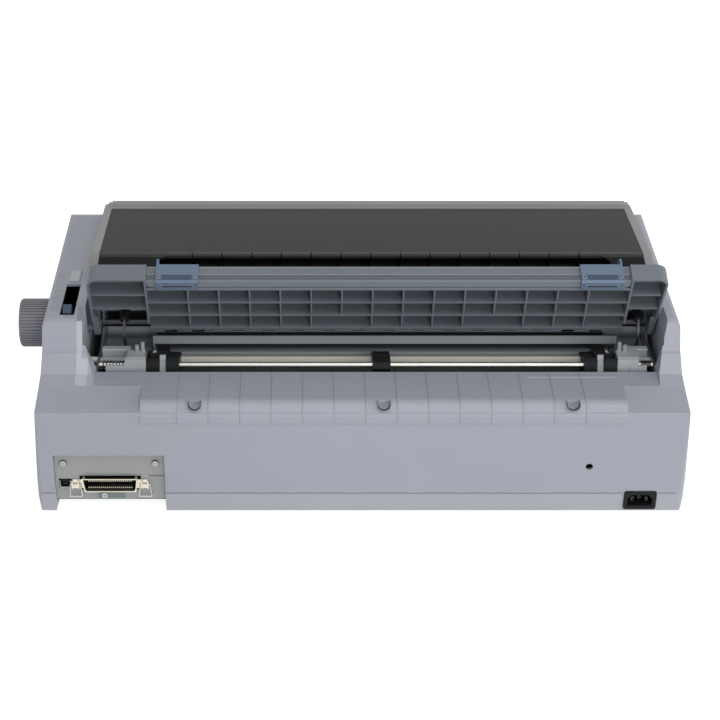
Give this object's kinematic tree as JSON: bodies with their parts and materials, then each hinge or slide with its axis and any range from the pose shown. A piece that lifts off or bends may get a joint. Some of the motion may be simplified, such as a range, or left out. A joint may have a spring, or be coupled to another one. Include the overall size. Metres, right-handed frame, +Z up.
{
  "type": "dot matrix printer",
  "caption": "Wide-carriage impact printer with a smoked hinged cover, tilting ribbed sheet guide, push tractor, turning platen knob, drop-down front cover and rear sockets.",
  "frame": {"origin": "centre of the overall box at the level that the feet stand on", "axes": "+X the printer's right (knob side), +Y its rear (paper guide and sockets), +Z up"},
  "size_m": [0.659, 0.402, 0.2231],
  "materials": {
    "case_grey": "fine moulded texture",
    "cover_grey": "fine moulded texture",
    "smoked": "smoked clear plastic",
    "guide_grey": "moulded, ribbed",
    "clip_blue": "moulded",
    "lever_blue": "moulded",
    "knob_grey": "ribbed",
    "rubber": "matt",
    "steel": "ground rod",
    "sheet_steel": "zinc-plated sheet",
    "plate_grey": "painted sheet",
    "shell_metal": "tinned shell",
    "black_plastic": "moulded",
    "inner_grey": "moulded",
    "light_grey": "moulded",
    "cream": "moulded",
    "motor": "dark painted",
    "board": "board with parts",
    "panel": "satin",
    "button": "satin",
    "head_metal": "cast, finned"
  },
  "bodies": {
    "root": {"lower_case": "case_grey", "upper_case": "case_grey", "rubber_feet": "rubber", "base_frame": "sheet_steel", "side_frames": "sheet_steel", "rear_paper_guide": "inner_grey", "exit_guide": "black_plastic", "carriage_rod": "steel", "carriage_rail": "sheet_steel", "timing_belt": "rubber", "carriage_motor": "motor", "feed_motor": "motor", "main_board": "board", "power_supply": "board", "interface_plate": "plate_grey", "interface_bracket": "steel", "parallel_shell": "shell_metal", "parallel_insert": "black_plastic", "usb_port": "black_plastic", "power_inlet": "black_plastic", "case_screws": "steel", "tractor_ends": "light_grey", "tractor_rod": "steel", "control_panel": "panel", "ribbon_cartridge": "black_plastic"},
    "cover": {"cover_frame": "cover_grey", "cover_window": "smoked"},
    "sheet_guide": {"sheet_guide": "guide_grey", "guide_arms": "steel"},
    "edge_guide_right": {"edge_guide_right": "clip_blue"},
    "edge_guide_left": {"edge_guide_left": "clip_blue"},
    "platen": {"platen_roller": "rubber", "platen_shaft": "steel", "platen_gear": "cream", "platen_knob": "knob_grey"},
    "tractor_drive": {"tractor_shaft": "cream", "tractor_gear": "cream"},
    "tractor_right": {"tractor_case_right": "black_plastic", "pin_belt_right": "cream"},
    "tractor_left": {"tractor_case_left": "black_plastic", "pin_belt_left": "cream"},
    "sprocket_right": {"sprocket_right": "cream"},
    "sprocket_left": {"sprocket_left": "cream"},
    "flap_right": {"tractor_flap_right": "black_plastic"},
    "flap_left": {"tractor_flap_left": "black_plastic"},
    "lock_right": {"tractor_lock_right": "light_grey"},
    "lock_left": {"tractor_lock_left": "light_grey"},
    "paper_support": {"paper_support": "black_plastic"},
    "release_lever": {"release_lever": "lever_blue"},
    "front_cover": {"front_cover": "case_grey"},
    "button_1": {"button_1": "button"},
    "button_2": {"button_2": "button"},
    "button_3": {"button_3": "button"},
    "button_4": {"button_4": "button"},
    "power_switch": {"power_switch": "black_plastic"},
    "carriage": {"carriage": "black_plastic", "print_head": "head_metal"},
    "head_gap_lever": {"head_gap_lever": "clip_blue"},
    "bail_right": {"bail_wire_right": "steel"},
    "bail_left": {"bail_wire_left": "steel"}
  },
  "joints": [
    {"name": "cover_hinge", "type": "hinge", "parent": "root", "child": "cover", "pos_m": [0, 0.038, 0.162], "axis": [1, 0, 0], "range_deg": [-60, 0]},
    {"name": "sheet_guide_hinge", "type": "hinge", "parent": "root", "child": "sheet_guide", "pos_m": [0, 0.078, 0.14], "axis": [1, 0, 0], "range_deg": [-48, 0]},
    {"name": "edge_guide_right_slide", "type": "slide", "parent": "sheet_guide", "child": "edge_guide_right", "axis": [1, 0, 0], "range_m": [-0.15, 0.006]},
    {"name": "edge_guide_left_slide", "type": "slide", "parent": "sheet_guide", "child": "edge_guide_left", "axis": [1, 0, 0], "range_m": [-0.004, 0.15]},
    {"name": "platen_turn", "type": "hinge", "parent": "root", "child": "platen", "pos_m": [0, 0.053, 0.131], "axis": [1, 0, 0], "continuous": true},
    {"name": "tractor_drive_turn", "type": "hinge", "parent": "root", "child": "tractor_drive", "pos_m": [0, 0.09763, 0.11333], "axis": [1, 0, 0], "continuous": true},
    {"name": "tractor_right_slide", "type": "slide", "parent": "root", "child": "tractor_right", "axis": [1, 0, 0], "range_m": [-0.135, 0]},
    {"name": "tractor_left_slide", "type": "slide", "parent": "root", "child": "tractor_left", "axis": [1, 0, 0], "range_m": [0, 0.135]},
    {"name": "sprocket_right_turn", "type": "hinge", "parent": "tractor_right", "child": "sprocket_right", "pos_m": [0.18175, 0.09763, 0.11333], "axis": [1, 0, 0], "continuous": true},
    {"name": "sprocket_left_turn", "type": "hinge", "parent": "tractor_left", "child": "sprocket_left", "pos_m": [-0.24875, 0.09763, 0.11333], "axis": [1, 0, 0], "continuous": true},
    {"name": "flap_right_hinge", "type": "hinge", "parent": "tractor_right", "child": "flap_right", "pos_m": [0.19675, 0.10432, 0.12566], "axis": [0, 0.9397, 0.342], "range_deg": [0, 52]},
    {"name": "flap_left_hinge", "type": "hinge", "parent": "tractor_left", "child": "flap_left", "pos_m": [-0.26375, 0.10432, 0.12566], "axis": [0, -0.9397, -0.342], "range_deg": [0, 52]},
    {"name": "lock_right_hinge", "type": "hinge", "parent": "tractor_right", "child": "lock_right", "pos_m": [0.18175, 0.12112, 0.12188], "axis": [1, 0, 0], "range_deg": [-60, 0]},
    {"name": "lock_left_hinge", "type": "hinge", "parent": "tractor_left", "child": "lock_left", "pos_m": [-0.24875, 0.12112, 0.12188], "axis": [1, 0, 0], "range_deg": [-60, 0]},
    {"name": "paper_support_slide", "type": "slide", "parent": "root", "child": "paper_support", "axis": [1, 0, 0], "range_m": [-0.04, 0.04]},
    {"name": "release_lever_hinge", "type": "hinge", "parent": "root", "child": "release_lever", "pos_m": [0, 0.08, 0.106], "axis": [1, 0, 0], "range_deg": [0, 38]},
    {"name": "front_cover_hinge", "type": "hinge", "parent": "root", "child": "front_cover", "pos_m": [0, -0.196, 0.038], "axis": [1, 0, 0], "range_deg": [0, 85]},
    {"name": "button_1_press", "type": "slide", "parent": "root", "child": "button_1", "axis": [0, 0.5567, -0.8307], "range_m": [0, 0.0015], "stiffness_N_per_m": 300},
    {"name": "button_2_press", "type": "slide", "parent": "root", "child": "button_2", "axis": [0, 0.5567, -0.8307], "range_m": [0, 0.0015], "stiffness_N_per_m": 300},
    {"name": "button_3_press", "type": "slide", "parent": "root", "child": "button_3", "axis": [0, 0.5567, -0.8307], "range_m": [0, 0.0015], "stiffness_N_per_m": 300},
    {"name": "button_4_press", "type": "slide", "parent": "root", "child": "button_4", "axis": [0, 0.5567, -0.8307], "range_m": [0, 0.0015], "stiffness_N_per_m": 300},
    {"name": "power_switch_rock", "type": "hinge", "parent": "root", "child": "power_switch", "pos_m": [-0.2955, -0.194, 0.068], "axis": [1, 0, 0], "range_deg": [0, 12]},
    {"name": "carriage_slide", "type": "slide", "parent": "root", "child": "carriage", "axis": [1, 0, 0], "range_m": [0, 0.41]},
    {"name": "head_gap_hinge", "type": "hinge", "parent": "root", "child": "head_gap_lever", "pos_m": [0, -0.061, 0.142], "axis": [1, 0, 0], "range_deg": [-15, 15]},
    {"name": "bail_right_hinge", "type": "hinge", "parent": "root", "child": "bail_right", "pos_m": [0.266, 0.1964, 0.031], "axis": [1, 0, 0], "range_deg": [0, 100]},
    {"name": "bail_left_hinge", "type": "hinge", "parent": "root", "child": "bail_left", "pos_m": [0.198, 0.1964, 0.031], "axis": [1, 0, 0], "range_deg": [0, 100]}
  ],
  "couplings": [
    {"joint": "tractor_drive_turn", "follows": "platen_turn", "ratio": -1.6667},
    {"joint": "sprocket_right_turn", "follows": "platen_turn", "ratio": -1.6667},
    {"joint": "sprocket_left_turn", "follows": "platen_turn", "ratio": -1.6667}
  ]
}
